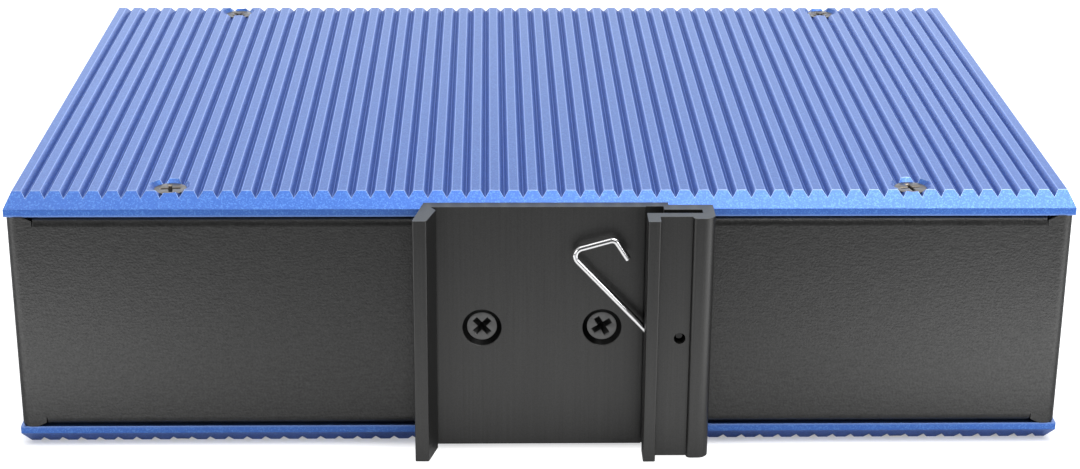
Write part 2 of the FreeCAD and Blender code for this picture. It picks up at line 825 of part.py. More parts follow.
# ---- ports on the board's front edge ----
def port_jack(number, x):
    """Stacked two-port socket; local origin: middle of its rear, on the board."""
    label = f"port_jack_{number}"
    body = new_body(label)
    face = new_sketch(body, label + "_face", "XZ_Plane")
    half = s.jack_width / 2
    rectangle(face, -half, 0, half, s.jack_height)
    pad(body, face, s.jack_depth, backwards=True)
    middle = s.jack_height / 2
    sockets = new_sketch(body, label + "_sockets", "XZ_Plane", lift=-s.jack_depth)
    latches = new_sketch(body, label + "_latches", "XZ_Plane", lift=-s.jack_depth)
    for side in (-1, 1):
        edge = middle - s.socket_wall
        shoulder = edge - s.latch_height
        floor = shoulder - s.socket_height
        rectangle(sockets, -s.socket_width / 2, middle + side * floor,
                  s.socket_width / 2, middle + side * shoulder)
        rectangle(latches, -s.latch_width / 2, middle + side * shoulder,
                  s.latch_width / 2, middle + side * edge)
    pocket(body, sockets, s.socket_depth, backwards=True)
    pocket(body, latches, s.latch_depth, backwards=True)
    return keep(place(body, x, front_y - s.jack_depth, board_top), label)


def sfp_cage(number, x):
    """Folded cage, open to the front; local origin: middle of its rear, on the board."""
    label = f"sfp_cage_{number}"
    body = new_body(label)
    face = new_sketch(body, label + "_face", "XZ_Plane")
    half = s.cage_width / 2
    rectangle(face, -half, 0, half, s.cage_height)
    pad(body, face, s.cage_depth, backwards=True)
    mouth = new_sketch(body, label + "_mouth", "XZ_Plane", lift=-s.cage_depth)
    inside = half - s.cage_wall
    rectangle(mouth, -inside, s.cage_wall, inside, s.cage_height - s.cage_wall)
    pocket(body, mouth, s.cage_depth - s.cage_wall, backwards=True)
    keep(place(body, x, front_y - s.cage_depth, board_top), label)
    block(f"sfp_connector_{number}", s.connector_width, s.connector_depth, s.connector_height,
          x, front_y - s.cage_depth + s.cage_wall + s.connector_depth / 2, board_top + s.cage_wall)


for number, x in enumerate(jack_x, 1):
    port_jack(number, x)
for number, x in enumerate(cage_x, 1):
    sfp_cage(number, x)

# ---- lamps: a stacked block on the board, each lamp reaching the port face ----
lamp_face = front_y - s.sheet - s.board_front_gap
block("indicator_block", s.lamp_block_width, s.lamp_block_depth, s.lamp_count * s.lamp_pitch,
      lamp_x, lamp_face - s.lamp_block_depth / 2, board_top)
group("indicator_lamps", upright_box("lamp", s.lamp_width, s.lamp_height, s.sheet + s.board_front_gap),
      [(lamp_x, lamp_face, board_top + z) for z in lamp_z], turn=((1, 0, 0), -90))

# ---- ground screw on the port face ----
washer = ring("ground_washer", s.washer_width, s.screw_clearance, s.washer_thickness,
              six_sided=False)
keep(place(washer, ground_x, front_y, middle_z, ((1, 0, 0), -90)), "ground_washer")
ground_screw = pan_screw("ground_screw", s.ground_head, s.ground_head_height, s.ground_screw_length)
keep(place(ground_screw, ground_x, front_y + s.washer_thickness, middle_z, ((1, 0, 0), -90)),
     "ground_screw")
ground_nut = ring("ground_nut", s.nut_width, thread_hole, s.nut_length)
keep(place(ground_nut, ground_x, front_y - s.sheet, middle_z, ((1, 0, 0), 90)), "ground_nut")


# ---- power input in the left end ----
def terminal_header():
    """Local origin: middle of the mouth's foot, on the end wall's outer face; X into the case."""
    body = new_body("terminal_header")
    half = header_length / 2
    face = new_sketch(body, "header_face", "YZ_Plane")
    rectangle(face, -half, 0, half, s.header_height)
    pad(body, face, s.header_depth)
    mouth = new_sketch(body, "header_mouth", "YZ_Plane")
    inside = half - s.header_wall
    rectangle(mouth, -inside, s.header_wall, inside, s.header_height - s.header_wall)
    pocket(body, mouth, s.header_depth - s.header_back, backwards=True)
    slots = new_sketch(body, "header_pin_slots", "YZ_Plane")
    middle, arm = s.header_height / 2, s.header_pin / 2
    for y in pole_y:
        rectangle(slots, y - arm, middle - arm, y + arm, middle + arm)
    pocket(body, slots, backwards=True)
    return keep(place(body, -body_half, case_y, board_top), "terminal_header")


def header_pin():
    """Bent pin: through the header's back, then down to the board."""
    body = new_body("header_pin")
    side = new_sketch(body, "pin_side", "XZ_Plane")
    middle, arm = s.header_height / 2, s.header_pin / 2
    heel = s.header_depth + s.pin_tail
    outline(side, [
        (s.pin_recess, middle - arm), (heel - s.header_pin, middle - arm),
        (heel - s.header_pin, 0), (heel, 0), (heel, middle + arm), (s.pin_recess, middle + arm),
    ])
    pad(body, side, s.header_pin, both_ways=True)
    return body


poles = SIZES["terminal_poles"]
pole_y = [s.pole_pitch * (number - (poles - 1) / 2) for number in range(poles)]
terminal_header()
group("header_pins", header_pin(), [(-body_half, case_y + y, board_top) for y in pole_y])

# ---- parts on the board ----
chip_x, chip_y = s.chip_share * s.case_length, rear_y + s.chip_y
block("switch_chip", s.chip_width, s.chip_width, s.chip_thickness, chip_x, chip_y, board_top)
pad_z = board_top + s.chip_thickness
block("chip_pad", s.chip_width, s.chip_width, s.chip_pad_thickness, chip_x, chip_y, pad_z)
block_z = pad_z + s.chip_pad_thickness
block("heat_block", s.block_width, s.block_width, middle_z + half_height - block_z,
      chip_x, chip_y, block_z)
power_y = rear_y + s.power_y
block("power_transformer", s.transformer_length, s.transformer_width, s.transformer_height,
      s.transformer_share * s.case_length, power_y, board_top)


line_chip = upright_box("line_chip", s.line_chip_width, s.line_chip_width, s.line_chip_thickness)
line_chip_y = front_y - s.jack_depth - s.line_chip_gap - s.line_chip_width / 2
group("line_chips", line_chip,
      [(s.line_chip_share * s.case_length + side * s.line_chip_pitch / 2, line_chip_y, board_top)
       for side in (-1, 1)])
inductor = upright_box("inductor", s.inductor_width, s.inductor_width, s.inductor_height)
group("power_inductors", inductor,
      [(s.inductor_share * s.case_length + side * s.inductor_pitch / 2, power_y, board_top)
       for side in (-1, 1)])
capacitor = doc.addObject("Part::Cylinder", "capacitor")
bind(capacitor, "Radius", s.capacitor_width / 2)
bind(capacitor, "Height", s.capacitor_height)
group("storage_capacitors", capacitor,
      [(s.capacitor_share * s.case_length + s.capacitor_pitch * number, rear_y + s.capacitor_y,
        board_top)
       for number in range(SIZES["capacitor_count"])])

# ---- check and write ----
doc.recompute()
for item in doc.Objects:
    if "Invalid" in item.State or "Error" in item.State:
        raise RuntimeError(f"{item.Label} failed: {item.State}")
    if item.isDerivedFrom("PartDesign::Feature") and item.isDerivedFrom("PartDesign::FeatureSubtractive"):
        if item.BaseFeature.Shape.Volume - item.Shape.Volume < 1e-6:
            raise RuntimeError(f"{item.Label} cuts nothing")

os.makedirs("parts", exist_ok=True)
for item in nodes:
    shape = item.Shape
    if shape.isNull() or not shape.isValid() or not shape.Solids:
        raise RuntimeError(f"{item.Label} has no valid solid")
    shape.exportStep(f"parts/{item.Label}.step")
    box = shape.BoundBox
    print(f"{item.Label}: {len(shape.Solids)} solids, {shape.Volume:.1f} mm3, "
          f"x {box.XMin:.2f} {box.XMax:.2f} y {box.YMin:.2f} {box.YMax:.2f} z {box.ZMin:.2f} {box.ZMax:.2f}")
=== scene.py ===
"""DIN rail network switch lying on its side: finishes, small trim, studio and camera."""
import json
import math

import bmesh
import bpy
from mathutils import Matrix, Vector


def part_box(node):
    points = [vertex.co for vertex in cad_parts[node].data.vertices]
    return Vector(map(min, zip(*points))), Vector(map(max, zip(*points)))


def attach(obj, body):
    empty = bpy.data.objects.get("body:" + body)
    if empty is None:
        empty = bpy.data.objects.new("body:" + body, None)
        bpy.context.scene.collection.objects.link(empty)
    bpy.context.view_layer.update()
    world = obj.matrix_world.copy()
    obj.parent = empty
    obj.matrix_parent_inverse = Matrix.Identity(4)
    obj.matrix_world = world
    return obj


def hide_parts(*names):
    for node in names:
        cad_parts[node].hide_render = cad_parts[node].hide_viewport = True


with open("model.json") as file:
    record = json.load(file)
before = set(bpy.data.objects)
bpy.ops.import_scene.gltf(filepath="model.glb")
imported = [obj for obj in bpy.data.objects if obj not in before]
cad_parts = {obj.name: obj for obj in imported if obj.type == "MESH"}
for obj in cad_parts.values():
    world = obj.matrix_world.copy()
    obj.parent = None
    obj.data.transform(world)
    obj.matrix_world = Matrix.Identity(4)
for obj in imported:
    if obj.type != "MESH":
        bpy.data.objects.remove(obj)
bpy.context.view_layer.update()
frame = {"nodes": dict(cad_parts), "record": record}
MM = 0.001

# Sizes of the solids that the finishes and the small trim follow.
RIDGE_PITCH = 2.935 * MM
RIDGE_FLAT = 1.48 * MM
GROOVE_DEPTH = 0.95 * MM
GROOVE_MOUTH = (RIDGE_PITCH - RIDGE_FLAT) / 2   # from a groove's middle to its edge
PANEL_EDGE = 1.2 * MM                           # upright edge under the long bevels
SCREW_SHANK = 1.5 * MM                          # radius
PANEL_HEAD = 5.2 * MM
CLIP_HEAD = 4.8 * MM
CLIP_COUNTERSINK = 6.2 * MM
GROUND_HEAD = 5.8 * MM
GROUND_HEAD_HEIGHT = 2.1 * MM
SOCKET_WALL = 1.9 * MM
LATCH_HEIGHT = 2.0 * MM
SOCKET_HEIGHT = 7.0 * MM

# The side panels' ridges lie equally far above and below the middle of the case.
MIDDLE_Z = sum(corner[2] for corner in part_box("chassis")) / 2
PANEL_FOOT, PANEL_FACE = (corner[2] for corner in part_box("upper_side_panel"))
PANEL_THICKNESS = PANEL_FACE - PANEL_FOOT
PANEL_BEVEL = PANEL_THICKNESS - PANEL_EDGE
RIDGE_TOP = PANEL_FACE - MIDDLE_Z


# ---- finishes ----
class Signal:
    """What one socket of a tree gives; sums of signals add their own maths nodes."""

    def __init__(self, net, socket):
        self.net = net
        self.socket = socket

    def maths(self, operation, *terms):
        return self.net.node("ShaderNodeMath", {"operation": operation}, dict(enumerate(terms)))

    def __add__(self, other):
        return self.maths("ADD", self, other)

    def __sub__(self, other):
        return self.maths("SUBTRACT", self, other)

    def __rsub__(self, other):
        return self.maths("SUBTRACT", other, self)

    def __mul__(self, other):
        return self.maths("MULTIPLY", self, other)

    def __truediv__(self, other):
        return self.maths("DIVIDE", self, other)

    def __gt__(self, other):
        return self.maths("GREATER_THAN", self, other)

    def __lt__(self, other):
        return self.maths("LESS_THAN", self, other)

    __radd__ = __add__
    __rmul__ = __mul__

    def __abs__(self):
        return self.maths("ABSOLUTE", self)

    def fraction(self):
        return self.maths("FRACT", self)

    def larger(self, other):
        return self.maths("MAXIMUM", self, other)

    def between(self, low, high):
        """0 up to low and 1 from high on, with a smooth rise between."""
        return self.net.node("ShaderNodeMapRange", {"interpolation_type": "SMOOTHSTEP"},
                             {"Value": self, "From Min": low, "From Max": high})


class Net:
    """A node tree that is written one node at a time."""

    def __init__(self, tree):
        self.tree = tree
        self.tree.nodes.clear()

    def node(self, kind, settings=None, values=None, out=0):
        """Adds a node, sets it up, feeds its sockets by name or number, and gives one output."""
        made = self.tree.nodes.new(kind)
        for name, setting in (settings or {}).items():
            setattr(made, name, setting)
        open_inputs = [socket for socket in made.inputs if socket.enabled]
        for name, value in (values or {}).items():
            socket = open_inputs[name] if isinstance(name, int) else made.inputs[name]
            self.feed(socket, value)
        open_outputs = [socket for socket in made.outputs if socket.enabled]
        if not open_outputs:
            return None
        socket = open_outputs[out] if isinstance(out, int) else made.outputs[out]
        return Signal(self, socket)

    def feed(self, socket, value):
        if isinstance(value, (list, tuple)) and any(isinstance(item, Signal) for item in value):
            for item in value:
                self.feed(socket, item)
        elif isinstance(value, Signal):
            self.tree.links.new(value.socket, socket)
        elif socket.type == "RGBA":
            socket.default_value = (*value, 1.0)
        else:
            socket.default_value = value

    def part_of(self, vector, name):
        return self.node("ShaderNodeSeparateXYZ", None, {0: vector}, out=name)

    def ray(self, kind):
        """1 for rays of one kind, such as Camera or Glossy, and 0 for all others."""
        return self.node("ShaderNodeLightPath", out=f"Is {kind} Ray")

    def blended(self, factor, first, second):
        """The first shader at factor 0, the second at 1; None stands for black."""
        shaders = {} if first is None else {1: first}
        return self.node("ShaderNodeMixShader", None, {0: factor, **shaders, 2: second})


class Finish(Net):
    """A node material; place is the object's own coordinates in metres."""

    def __init__(self, name):
        self.material = bpy.data.materials.new(name)
        self.material.use_nodes = True
        super().__init__(self.material.node_tree)
        self.place = self.node("ShaderNodeTexCoord", out="Object")

    def stretched(self, x=1.0, y=1.0, z=1.0):
        """The place, with each axis drawn out by a factor."""
        return self.vectors("DIVIDE", self.place, (x, y, z))

    def grain(self, size, place=None, detail=2.0):
        """Noise about 0.5 whose spots are about size across."""
        return self.node("ShaderNodeTexNoise", None, {
            "Vector": place or self.place, "Scale": 1 / size, "Detail": detail})

    def cells(self, size, place=None):
        """A random value for each cell of about size."""
        spots = self.node("ShaderNodeTexVoronoi", None,
                          {"Vector": place or self.place, "Scale": 1 / size}, out="Color")
        return self.node("ShaderNodeSeparateColor", None, {0: spots})

    def mixed(self, factor, low, high):
        return self.node("ShaderNodeMix", {"data_type": "RGBA"}, {0: factor, 1: low, 2: high})

    def axis(self, name):
        return self.part_of(self.place, name)

    def facing(self, name):
        """How far the surface faces along an axis, from -1 to 1."""
        return self.part_of(self.node("ShaderNodeNewGeometry", out="Normal"), name)

    def vectors(self, operation, *terms, out="Vector"):
        return self.node("ShaderNodeVectorMath", {"operation": operation},
                         dict(enumerate(terms)), out=out)

    def raised(self, height, depth, edge=0.0):
        """Normal of a surface whose relief is height times depth, with its edges eased by edge."""
        values = {"Height": height, "Distance": depth}
        if edge:
            values["Normal"] = self.node("ShaderNodeBevel", {"samples": 6}, {"Radius": edge})
        return self.node("ShaderNodeBump", None, values)

    def glow(self, strength, colour=(1.0, 1.0, 1.0)):
        return self.node("ShaderNodeEmission", None, {"Color": colour, "Strength": strength})

    def surface(self, **values):
        """Ends the finish; names are those of the main shader's sockets, with _ for spaces."""
        named = {name.replace("_", " "): value for name, value in values.items()}
        return self.ended(self.node("ShaderNodeBsdfPrincipled", None, named))

    def ended(self, shader):
        self.node("ShaderNodeOutputMaterial", None, {"Surface": shader})
        return self.material


def blue_anodised():
    """Bead-blasted, dyed and sealed aluminium.

    Painted shade darkens the grooves' walls, painted highlight lines run along every sharp edge
    and valley, pale cells all over are a painted glint, and a painted light band runs along the
    panel's foot.
    """
    finish = Finish("blue anodised")
    blast = finish.grain(0.25 * MM, detail=1.0)
    cloud = finish.grain(14 * MM, detail=3.0)
    glint = finish.cells(0.18 * MM).between(0.55, 1.0)
    # depth is measured down from the ridges' flats, and across from the nearest groove's middle
    depth = RIDGE_TOP - abs(finish.axis("Z") - MIDDLE_Z)
    across = abs((finish.axis("X") / RIDGE_PITCH + 0.5).fraction() - 0.5) * RIDGE_PITCH
    # the grooved face: painted shade on the groove walls, painted highlight lines along the
    # valleys and the grooves' edges
    ribbed = (abs(finish.facing("Y")) < 0.3) * (depth < GROOVE_DEPTH + 0.05 * MM)
    wall = depth.between(0.02 * MM, 0.25 * MM) * ribbed
    valley = depth.between(GROOVE_DEPTH - 0.11 * MM, GROOVE_DEPTH - 0.02 * MM) * ribbed
    corner = (across.between(GROOVE_MOUTH - 0.06 * MM, GROOVE_MOUTH)
              * (1.0 - across.between(GROOVE_MOUTH + 0.07 * MM, GROOVE_MOUTH + 0.14 * MM))
              * ribbed)
    # the long bevels: a painted highlight line along their top edge, which dips where each groove
    # runs out
    bevelled = (abs(finish.facing("Y")) > 0.3) * (abs(finish.facing("Z")) > 0.3)
    core, line = 0.03 * MM, 0.09 * MM
    notch = abs(across - (1.0 - depth / GROOVE_DEPTH) * GROOVE_MOUTH)
    notched = (1.0 - notch.between(core, line)) * (depth < GROOVE_DEPTH + line)
    crest = (1.0 - depth.between(core, line)) * (across > GROOVE_MOUTH)
    painted_bevel_line = notched.larger(crest) * bevelled
    # the panel's foot, where a painted light band runs
    rim = depth.between(PANEL_THICKNESS - 0.35 * MM, PANEL_THICKNESS - 0.1 * MM)
    deep = finish.mixed(cloud, (0.016, 0.126, 0.53), (0.022, 0.146, 0.60))
    # painted glint: random pale cells mixed into the dyed colour
    base_tone = finish.mixed(glint * 0.42, deep, (0.15, 0.40, 0.88))
    # painted shade on the grooves' walls
    painted_wall_shade = finish.mixed(wall * (1.0 - glint * 0.7), base_tone, (0.018, 0.092, 0.42))
    # painted highlight lines along the valleys and the grooves' edges
    painted_line_highlights = finish.mixed(valley * 0.8 + corner * 0.8, painted_wall_shade, (0.36, 0.52, 0.95))
    # painted highlight line along the bevels' top edge
    painted_bevel_highlight = finish.mixed(painted_bevel_line * 0.6, painted_line_highlights, (0.55, 0.72, 0.98))
    return finish.surface(
        # painted light band along the panel's foot
        Base_Color=finish.mixed(rim * 0.6, painted_bevel_highlight, (0.20, 0.32, 0.66)),
        Metallic=1.0 - wall * 0.25, Roughness=0.36 + blast * 0.16,
        Coat_Weight=1.0 - wall * 0.35, Coat_Roughness=0.29, Coat_IOR=1.64,
        Normal=finish.raised(blast, 0.018 * MM, edge=0.09 * MM))


def black_sheet():
    """Blackened sheet with a satin sheen, short lengthwise grain and a fine speckle."""
    finish = Finish("black sheet")
    brush = finish.grain(0.45 * MM, finish.stretched(x=4.0), detail=3.0)
    speck = finish.grain(0.32 * MM, detail=1.0)
    cloud = finish.grain(30 * MM, detail=2.0)
    tone = finish.mixed(brush * 0.4 + speck * 0.6, (0.028, 0.028, 0.028), (0.092, 0.092, 0.091))
    return finish.surface(
        Base_Color=tone, Metallic=0.92, Roughness=0.29 + cloud * 0.06 + brush * 0.08,
        Normal=finish.raised(brush * 0.7 + speck * 0.9, 0.036 * MM, edge=0.15 * MM))


def black_anodised():
    """Black dyed extrusion: draw lines along it, painted shade in the countersinks and barer
    saw-cut ends.
    """
    finish = Finish("black anodised")
    draw = finish.grain(0.3 * MM, finish.stretched(z=60.0), detail=3.0)
    speck = finish.grain(0.2 * MM, detail=1.0)
    cut = abs(finish.facing("Z")).between(0.9, 0.99)
    base_tone = finish.mixed(draw * 0.4 + speck * 0.6, (0.046, 0.046, 0.0455), (0.088, 0.088, 0.087))
    low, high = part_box("clip_screws")
    sink = CLIP_COUNTERSINK / 2
    plain = 1.0
    for x in (low[0] + CLIP_HEAD / 2, high[0] - CLIP_HEAD / 2):
        from_screw = finish.vectors("SUBTRACT", finish.place, (x, 0.0, MIDDLE_Z))
        from_axis = finish.vectors("MULTIPLY", from_screw, (1.0, 0.0, 1.0))
        reach = finish.vectors("LENGTH", from_axis, out="Value")
        plain = reach.between(sink - 0.15 * MM, sink - 0.02 * MM) * plain
    # painted shade: the countersinks' cones are painted near black
    with_painted_countersink_shade = finish.mixed(plain, (0.004, 0.004, 0.004), base_tone)
    return finish.surface(
        Base_Color=finish.mixed(cut * 0.9, with_painted_countersink_shade, (0.18, 0.175, 0.162)), Metallic=0.92,
        Roughness=0.33 + speck * 0.12,
        Normal=finish.raised(draw * 0.6 + speck * 0.4, 0.012 * MM, edge=0.12 * MM))


def plain_metal(name, dark, light, roughness):
    """Plated or turned metal with a fine uneven sheen."""
    finish = Finish(name)
    tone = finish.grain(1.6 * MM, detail=3.0)
    fine = finish.grain(0.15 * MM, detail=1.0)
    return finish.surface(
        Base_Color=finish.mixed(tone, dark, light), Metallic=1.0,
        Roughness=roughness + tone * 0.12,
        Normal=finish.raised(fine, 0.005 * MM, edge=0.06 * MM))


def recessed(name, depth, dark, light, shade, roughness, metallic=1.0):
    """Screw metal with painted shade in the driver's cross; depth tells how far below the head's
    face.
    """
    finish = Finish(name)
    tone = finish.grain(0.9 * MM, detail=3.0)
    below = depth(finish)
    cross_bottom = 2.2 * MM
    # painted shade inside the cross, down to its bottom
    inside = below.between(0.06 * MM, 0.3 * MM) * (below < cross_bottom)
    return finish.surface(
        Base_Color=finish.mixed(inside, finish.mixed(tone, dark, light), shade),
        Metallic=metallic - inside * 0.5, Roughness=roughness + tone * 0.12 + inside * 0.2,
        Normal=finish.raised(tone, 0.005 * MM, edge=0.06 * MM))


def below_panel_heads(finish):
    """The depth for both panels' screws, whose heads face up and down."""
    low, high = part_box("lower_panel_screws")[0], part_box("upper_panel_screws")[1]
    return (high[2] - low[2]) / 2 - abs(finish.axis("Z") - MIDDLE_Z)


def below_clip_heads(finish):
    """The depth for the clip's screws, whose heads face backwards."""
    return finish.axis("Y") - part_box("clip_screws")[0][1]


def port_shield():
    """Bright folded shield; inside the sockets it is black moulded plastic."""
    finish = Finish("port shield")
    tone = finish.grain(1.6 * MM, detail=3.0)
    low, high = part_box("port_jack_1")
    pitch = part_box("port_jack_2")[0][0] - low[0]
    sheet = 0.2 * MM
    middle, half = (low[0] + high[0]) / 2, (high[0] - low[0]) / 2 - sheet
    across = abs(((finish.axis("X") - middle) / pitch + 0.5).fraction() - 0.5) * pitch
    height = finish.axis("Z")
    inner = ((high[1] - finish.axis("Y")).between(sheet, sheet + 0.1 * MM) * (across < half)
             * (height > low[2] + sheet) * (height < high[2] - sheet))
    shield = finish.mixed(tone, (0.50, 0.50, 0.49), (0.64, 0.64, 0.63))
    return finish.surface(
        Base_Color=finish.mixed(inner, shield, (0.014, 0.014, 0.015)), Metallic=1.0 - inner,
        Roughness=0.30 + tone * 0.1 + inner * 0.1)


def spring_wire():
    """Bright drawn wire, with painted shade on the end that stands in the lip's hole."""
    finish = Finish("spring wire")
    draw = finish.grain(0.25 * MM, detail=2.0)
    bright = finish.mixed(draw, (0.72, 0.72, 0.73), (0.86, 0.86, 0.87))
    rearmost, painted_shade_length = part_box("rail_spring")[0][1], 0.7 * MM
    # painted shade on the wire's end inside the lip's hole
    end = (rearmost + painted_shade_length - finish.axis("Y")).between(0.0, 0.15 * MM)
    return finish.surface(
        Base_Color=finish.mixed(end, bright, (0.03, 0.03, 0.03)), Metallic=1.0,
        Roughness=0.10 + draw * 0.10, Normal=finish.raised(draw, 0.004 * MM))


def moulded(name, dark, light, roughness):
    """Moulded plastic or coated part with a faint texture."""
    finish = Finish(name)
    skin = finish.grain(0.3 * MM, detail=2.0)
    cloud = finish.grain(6 * MM, detail=2.0)
    return finish.surface(
        Base_Color=finish.mixed(cloud, dark, light), Metallic=0.0,
        Roughness=roughness + skin * 0.15,
        Normal=finish.raised(skin, 0.008 * MM, edge=0.1 * MM))


def circuit_board():
    """Solder mask over copper tracks."""
    finish = Finish("circuit board")
    tracks = finish.cells(2.4 * MM, finish.stretched(x=3.0)) > 0.55
    weave = finish.grain(0.5 * MM, detail=2.0)
    mask = finish.mixed(tracks * 0.6, (0.006, 0.055, 0.022), (0.012, 0.11, 0.04))
    return finish.surface(
        Base_Color=mask, Metallic=0.0, Roughness=0.28 + weave * 0.12,
        Normal=finish.raised(tracks, 0.03 * MM))


FINISHES = {
    "blue_anodised": blue_anodised(),
    "black_sheet": black_sheet(),
    "black_anodised": black_anodised(),
    "black_steel": recessed("black steel", below_clip_heads, (0.10, 0.10, 0.10),
                            (0.16, 0.16, 0.16), (0.006, 0.006, 0.006), 0.34, metallic=0.8),
    "screw_steel": recessed("screw steel", below_panel_heads, (0.23, 0.195, 0.16),
                            (0.42, 0.37, 0.31), (0.03, 0.025, 0.02), 0.28),
    "plain_steel": plain_metal("plain steel", (0.50, 0.50, 0.50), (0.66, 0.66, 0.65), 0.32),
    "spring_wire": spring_wire(),
    "circuit_board": circuit_board(),
    "port_shield": port_shield(),
    "cage_metal": plain_metal("cage metal", (0.56, 0.54, 0.50), (0.70, 0.68, 0.64), 0.26),
    "black_plastic": moulded("black plastic", (0.012, 0.012, 0.013), (0.02, 0.02, 0.021), 0.42),
    "lamp_lens": moulded("lamp lens", (0.42, 0.50, 0.42), (0.52, 0.60, 0.52), 0.18),
    "green_plastic": moulded("green plastic", (0.02, 0.20, 0.06), (0.028, 0.25, 0.075), 0.38),
    "contact_metal": plain_metal("contact metal", (0.72, 0.56, 0.28), (0.86, 0.70, 0.38), 0.24),
    "chip_black": moulded("chip black", (0.012, 0.012, 0.013), (0.022, 0.022, 0.023), 0.5),
    "soft_pad": moulded("soft pad", (0.38, 0.42, 0.52), (0.45, 0.49, 0.58), 0.7),
    "raw_aluminium": plain_metal("raw aluminium", (0.66, 0.66, 0.67), (0.78, 0.78, 0.79), 0.36),
    "ferrite": moulded("ferrite", (0.035, 0.034, 0.034), (0.06, 0.058, 0.056), 0.55),
    "capacitor_can": moulded("capacitor can", (0.03, 0.03, 0.05), (0.05, 0.05, 0.08), 0.3),
}


def dress_nodes():
    """Gives each node of the solids the finish of its slot."""
    for part in frame["record"]["subparts"]:
        mesh = frame["nodes"][part["node"]].data
        mesh.materials.clear()
        mesh.materials.append(FINISHES[part["material_slot"]])


dress_nodes()


# ---- small pieces ----
class Recipe(Net):
    """A geometry tree with named inputs; made(...) gives its result as a plain mesh object."""

    def __init__(self, name, inputs):
        tree = bpy.data.node_groups.new(name, "GeometryNodeTree")
        super().__init__(tree)
        tree.interface.new_socket("Geometry", in_out="INPUT", socket_type="NodeSocketGeometry")
        for word, kind in inputs.items():
            tree.interface.new_socket(word, in_out="INPUT", socket_type="NodeSocket" + kind)
        tree.interface.new_socket("Geometry", in_out="OUTPUT", socket_type="NodeSocketGeometry")
        entry = tree.nodes.new("NodeGroupInput")
        self.given = {socket.name: Signal(self, socket) for socket in entry.outputs if socket.name}

    def point(self, **parts):
        return self.node("ShaderNodeCombineXYZ", None, parts)

    def line(self, start, end):
        return self.node("GeometryNodeCurvePrimitiveLine", None, {"Start": start, "End": end})

    def own_turn(self, axis):
        """Each spot's turn about an axis of the piece that stands on it."""
        turn = self.node("GeometryNodeInputNamedAttribute", {"data_type": "FLOAT"},
                         {"Name": "turn"}, out="Attribute")
        return self.node("FunctionNodeAxisAngleToRotation", None, {"Axis": axis, "Angle": turn})

    def ended(self, shape):
        whole = self.node("GeometryNodeRealizeInstances", None, {0: shape})
        dressed = self.node("GeometryNodeSetMaterial", None,
                            {"Geometry": whole, "Material": self.given["Finish"]})
        self.node("NodeGroupOutput", None, {0: dressed})

    def made(self, name, seed_mesh, **values):
        holder = bpy.data.objects.new(name + "_recipe", seed_mesh)
        bpy.context.scene.collection.objects.link(holder)
        modifier = holder.modifiers.new("recipe", "NODES")
        modifier.node_group = self.tree
        for item in self.tree.interface.items_tree:
            word = item.name.replace(" ", "_")
            if item.in_out == "INPUT" and word in values:
                modifier[item.identifier] = values[word]
        mesh = plain_mesh(holder, name)
        bpy.data.objects.remove(holder)
        piece = bpy.data.objects.new(name, mesh)
        bpy.context.scene.collection.objects.link(piece)
        return piece


def plain_mesh(thing, name):
    """What a thing's modifiers give, as a mesh of its own."""
    graph = bpy.context.evaluated_depsgraph_get()
    mesh = bpy.data.meshes.new_from_object(thing.evaluated_get(graph), depsgraph=graph)
    mesh.name = name
    return mesh


def spots_mesh(name, spots, turns):
    """Loose points, each with the angle in degrees that its piece is turned by."""
    mesh = bpy.data.meshes.new(name)
    mesh.from_pydata(spots, [], [])
    angles = [math.radians(turn) for turn in turns]
    mesh.attributes.new("turn", "FLOAT", "POINT").data.foreach_set("value", angles)
    return mesh


def fitted(recipe, name, slot, spots, turns, replaced=None, **inputs):
    """Small trim of the case that a recipe makes on some spots, in place of a node's plain one."""
    piece = recipe.made(name, spots_mesh(name, spots, turns), Finish=FINISHES[slot], **inputs)
    if replaced:
        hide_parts(replaced)
    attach(piece, "case")


def turned(name, profile, steps=48):
    """Lathe-turned blank through (radius, height) points that start and end on the axis.

    A point on the axis is one corner, repeated, so the faces round it are triangles.
    """
    shape = bmesh.new()
    rings = []
    for radius, height in profile:
        if radius == 0:
            rings.append([shape.verts.new((0, 0, height))] * steps)
            continue
        rings.append([shape.verts.new((radius * math.cos(2 * math.pi * k / steps),
                                       radius * math.sin(2 * math.pi * k / steps), height))
                      for k in range(steps)])
    for above, below in zip(rings, rings[1:]):
        for k in range(steps):
            after = (k + 1) % steps
            corners = dict.fromkeys((above[k], above[after], below[after], below[k]))
            shape.faces.new(corners)
    return blank_object(name, shape)


def blank_object(name, shape):
    """An object from a shape in the making, its faces turned outwards."""
    bmesh.ops.recalc_face_normals(shape, faces=shape.faces)
    mesh = bpy.data.meshes.new(name)
    shape.to_mesh(mesh)
    shape.free()
    blank = bpy.data.objects.new(name, mesh)
    bpy.context.scene.collection.objects.link(blank)
    return blank


def cross_cutter(span, slot, depth, top):
    """Driver's cross, narrowing downwards to a point."""
    arm, half = span / 2, slot / 2
    narrow = 0.55           # its outline at the foot, as a share of that at the top
    point = 1.35            # depth of its point, as a share of the foot's
    over = 0.3 * MM         # stands proud of the head
    corners = [(arm, -half), (arm, half), (half, half), (half, arm), (-half, arm), (-half, half),
               (-arm, half), (-arm, -half), (-half, -half), (-half, -arm), (half, -arm),
               (half, -half)]
    shape = bmesh.new()
    rims = [[shape.verts.new((x * grow, y * grow, height)) for x, y in corners]
            for grow, height in ((1 + (1 - narrow) * over / depth, top + over),
                                 (narrow, top - depth))]
    tip = shape.verts.new((0, 0, top - depth * point))
    shape.faces.new(rims[0])
    for k in range(len(corners)):
        after = (k + 1) % len(corners)
        shape.faces.new((rims[0][k], rims[0][after], rims[1][after], rims[1][k]))
        shape.faces.new((rims[1][k], rims[1][after], tip))
    return blank_object("cross_cutter", shape)


